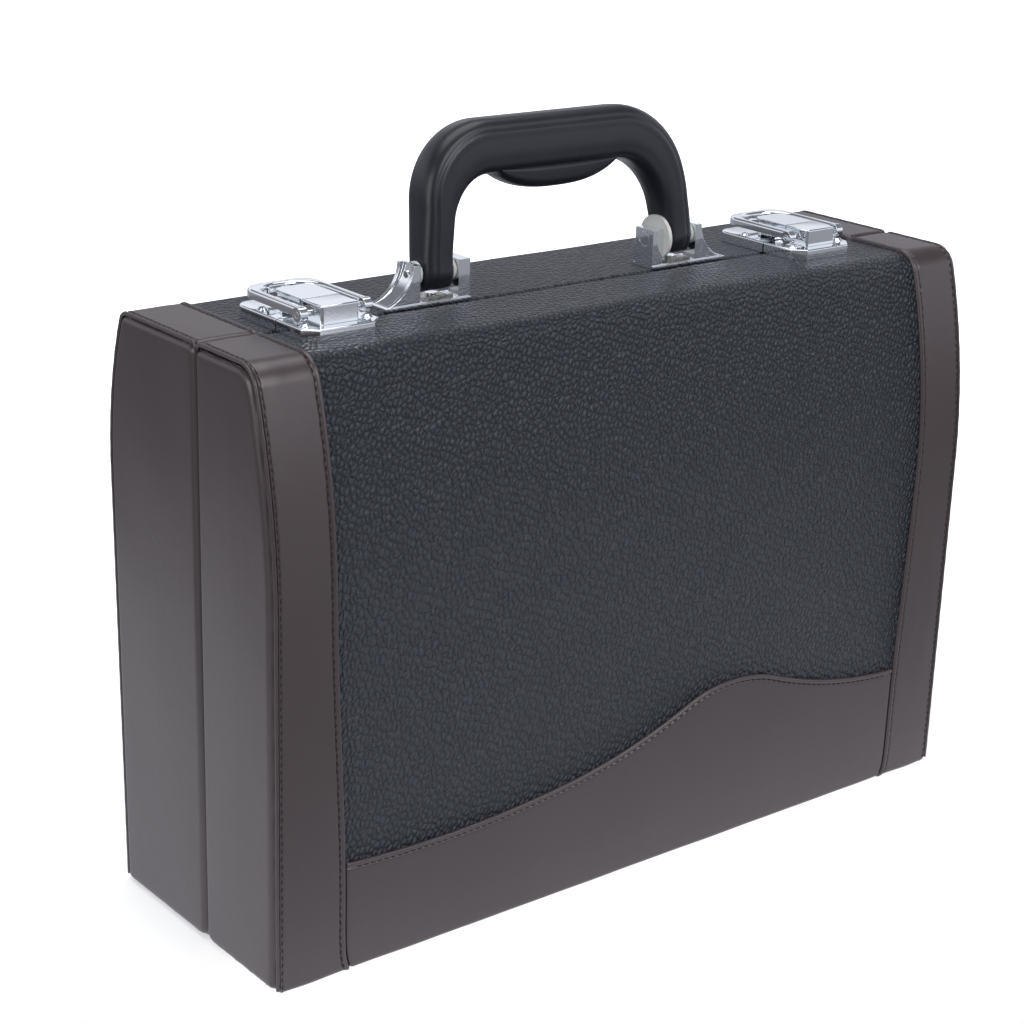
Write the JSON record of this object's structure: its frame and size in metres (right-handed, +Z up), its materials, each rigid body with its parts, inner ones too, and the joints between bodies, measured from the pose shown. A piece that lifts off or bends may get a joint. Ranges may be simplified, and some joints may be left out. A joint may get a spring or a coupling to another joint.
{
  "type": "clarinet case",
  "caption": "Hard case for a clarinet, standing on its hinge side, with draw latches, a folding handle, padded ends and a fitted block inside.",
  "frame": {"origin": "middle of the footprint, on the surface that the case stands on", "axes": "+X along the case, +Y from the lid towards the base, +Z up from the hinge side to the handle side"},
  "size_m": [0.36, 0.1184, 0.3106],
  "materials": {
    "shell_wood": "thin plywood, bare inside",
    "black_leatherette": "pebbled black leatherette",
    "brown_leatherette": "smooth dark brown leatherette with faint creases",
    "plush": "short dark blue plush",
    "rim_metal": "plain strip",
    "nylon": "milky nylon",
    "handle_plastic": "charcoal satin moulding",
    "steel": "plated steel",
    "chrome_metal": "bright chrome plate"
  },
  "bodies": {
    "base": {"base_shell": "shell_wood", "base_cover": "black_leatherette", "base_left_wrap": "brown_leatherette", "base_right_wrap": "brown_leatherette", "base_left_end_panel": "brown_leatherette", "base_right_end_panel": "brown_leatherette", "base_left_edge_bead": "brown_leatherette", "base_right_edge_bead": "brown_leatherette", "base_insert": "plush", "rim_tongue": "rim_metal", "left_keeper_plate": "chrome_metal", "right_keeper_plate": "chrome_metal", "keeper_rivets": "chrome_metal", "left_handle_mount": "chrome_metal", "right_handle_mount": "chrome_metal", "handle_mount_screws": "steel", "handle_pivot_screws": "steel", "handle_washers": "nylon", "handle_friction_springs": "steel", "left_base_hinge_leaf": "steel", "right_base_hinge_leaf": "steel", "hinge_pins": "steel", "base_hinge_screws": "steel"},
    "lid": {"lid_shell": "shell_wood", "lid_cover": "black_leatherette", "lid_left_wrap": "brown_leatherette", "lid_right_wrap": "brown_leatherette", "lid_left_end_panel": "brown_leatherette", "lid_right_end_panel": "brown_leatherette", "lid_left_edge_bead": "brown_leatherette", "lid_right_edge_bead": "brown_leatherette", "lid_wave_panel": "brown_leatherette", "lid_pad": "plush", "left_latch_plate": "chrome_metal", "right_latch_plate": "chrome_metal", "left_latch_housing": "chrome_metal", "right_latch_housing": "chrome_metal", "latch_rivets": "chrome_metal", "left_lid_hinge_leaf": "steel", "right_lid_hinge_leaf": "steel", "lid_hinge_screws": "steel"},
    "handle": {"handle_grip": "handle_plastic", "handle_finger_pad": "handle_plastic", "handle_bushes": "steel"},
    "left_lever": {"left_latch_bail": "chrome_metal", "left_latch_cranks": "chrome_metal", "left_latch_link_pin": "chrome_metal"},
    "left_hook": {"left_latch_hook": "chrome_metal"},
    "right_lever": {"right_latch_bail": "chrome_metal", "right_latch_cranks": "chrome_metal", "right_latch_link_pin": "chrome_metal"},
    "right_hook": {"right_latch_hook": "chrome_metal"}
  },
  "joints": [
    {"name": "lid_hinge", "type": "hinge", "parent": "base", "child": "lid", "pos_m": [0, -0.0072, 0.0026], "axis": [1, 0, 0], "range_deg": [0, 100]},
    {"name": "handle_fold", "type": "hinge", "parent": "base", "child": "handle", "pos_m": [-0.0078, -0.0002, 0.2542], "axis": [1, 0, 0], "range_deg": [-77, 93]},
    {"name": "left_latch_lever", "type": "hinge", "parent": "lid", "child": "left_lever", "pos_m": [-0.1283, -0.0194, 0.2508], "axis": [1, 0, 0], "range_deg": [0, 100]},
    {"name": "left_latch_link", "type": "hinge", "parent": "left_lever", "child": "left_hook", "pos_m": [-0.1283, -0.02196, 0.25125], "axis": [1, 0, 0], "range_deg": [-80, 0]},
    {"name": "right_latch_lever", "type": "hinge", "parent": "lid", "child": "right_lever", "pos_m": [0.1187, -0.0194, 0.2508], "axis": [1, 0, 0], "range_deg": [0, 100]},
    {"name": "right_latch_link", "type": "hinge", "parent": "right_lever", "child": "right_hook", "pos_m": [0.1187, -0.02196, 0.25125], "axis": [1, 0, 0], "range_deg": [-80, 0]}
  ],
  "couplings": [
    {"joint": "left_latch_link", "follows": "left_latch_lever", "ratio": -0.8},
    {"joint": "right_latch_link", "follows": "right_latch_lever", "ratio": -0.8}
  ]
}
